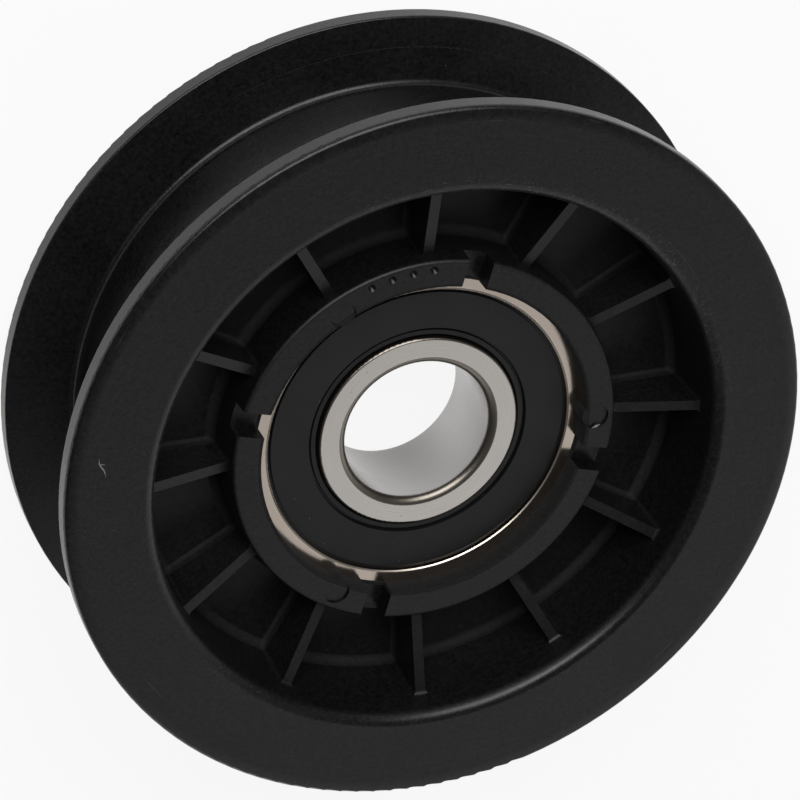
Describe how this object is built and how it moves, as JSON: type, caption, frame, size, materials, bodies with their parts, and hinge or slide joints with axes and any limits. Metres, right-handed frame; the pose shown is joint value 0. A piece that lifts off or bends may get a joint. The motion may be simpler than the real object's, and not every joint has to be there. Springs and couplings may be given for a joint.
{
  "type": "idler pulley",
  "caption": "Flanged flat-belt idler pulley: a black ribbed plastic wheel moulded round a sealed ball bearing whose inner ring bolts to a bracket.",
  "frame": {"origin": "centre of the bore, at the middle of the wheel's width", "axes": "+Z along the bore, out of the slotted front of the hub; +X along one of the ribs"},
  "size_m": [0.0858, 0.0858, 0.0268],
  "materials": {
    "wheel_plastic": "moulded black, satin",
    "bearing_steel": "ground bright",
    "seal_rubber": "smooth matt",
    "cage_steel": "pressed, dull",
    "ball_steel": "polished"
  },
  "bodies": {
    "inner_ring": {"bearing_inner_ring": "bearing_steel"},
    "pulley": {"pulley_wheel": "wheel_plastic", "bearing_outer_ring": "bearing_steel", "front_seal": "seal_rubber", "rear_seal": "seal_rubber"},
    "cage": {"cage_front_half": "cage_steel", "cage_rear_half": "cage_steel", "cage_rivets": "cage_steel"},
    "ball_1": {"ball_1": "ball_steel"},
    "ball_2": {"ball_2": "ball_steel"},
    "ball_3": {"ball_3": "ball_steel"},
    "ball_4": {"ball_4": "ball_steel"},
    "ball_5": {"ball_5": "ball_steel"},
    "ball_6": {"ball_6": "ball_steel"},
    "ball_7": {"ball_7": "ball_steel"},
    "ball_8": {"ball_8": "ball_steel"}
  },
  "joints": [
    {"name": "pulley_spin", "type": "hinge", "parent": "inner_ring", "child": "pulley", "pos_m": [0, 0, 0], "axis": [0, 0, 1], "continuous": true},
    {"name": "cage_orbit", "type": "hinge", "parent": "inner_ring", "child": "cage", "pos_m": [0, 0, 0], "axis": [0, 0, 1], "continuous": true},
    {"name": "ball_1_spin", "type": "hinge", "parent": "cage", "child": "ball_1", "pos_m": [0.01425, 0, 0], "axis": [0, 0, 1], "continuous": true},
    {"name": "ball_2_spin", "type": "hinge", "parent": "cage", "child": "ball_2", "pos_m": [0.01008, 0.01008, 0], "axis": [0, 0, 1], "continuous": true},
    {"name": "ball_3_spin", "type": "hinge", "parent": "cage", "child": "ball_3", "pos_m": [0, 0.01425, 0], "axis": [0, 0, 1], "continuous": true},
    {"name": "ball_4_spin", "type": "hinge", "parent": "cage", "child": "ball_4", "pos_m": [-0.01008, 0.01008, 0], "axis": [0, 0, 1], "continuous": true},
    {"name": "ball_5_spin", "type": "hinge", "parent": "cage", "child": "ball_5", "pos_m": [-0.01425, 0, 0], "axis": [0, 0, 1], "continuous": true},
    {"name": "ball_6_spin", "type": "hinge", "parent": "cage", "child": "ball_6", "pos_m": [-0.01008, -0.01008, 0], "axis": [0, 0, 1], "continuous": true},
    {"name": "ball_7_spin", "type": "hinge", "parent": "cage", "child": "ball_7", "pos_m": [0, -0.01425, 0], "axis": [0, 0, 1], "continuous": true},
    {"name": "ball_8_spin", "type": "hinge", "parent": "cage", "child": "ball_8", "pos_m": [0.01008, -0.01008, 0], "axis": [0, 0, 1], "continuous": true}
  ],
  "couplings": [
    {"joint": "cage_orbit", "follows": "pulley_spin", "ratio": 0.61837},
    {"joint": "ball_1_spin", "follows": "pulley_spin", "ratio": 1.9937},
    {"joint": "ball_2_spin", "follows": "pulley_spin", "ratio": 1.9937},
    {"joint": "ball_3_spin", "follows": "pulley_spin", "ratio": 1.9937},
    {"joint": "ball_4_spin", "follows": "pulley_spin", "ratio": 1.9937},
    {"joint": "ball_5_spin", "follows": "pulley_spin", "ratio": 1.9937},
    {"joint": "ball_6_spin", "follows": "pulley_spin", "ratio": 1.9937},
    {"joint": "ball_7_spin", "follows": "pulley_spin", "ratio": 1.9937},
    {"joint": "ball_8_spin", "follows": "pulley_spin", "ratio": 1.9937}
  ]
}
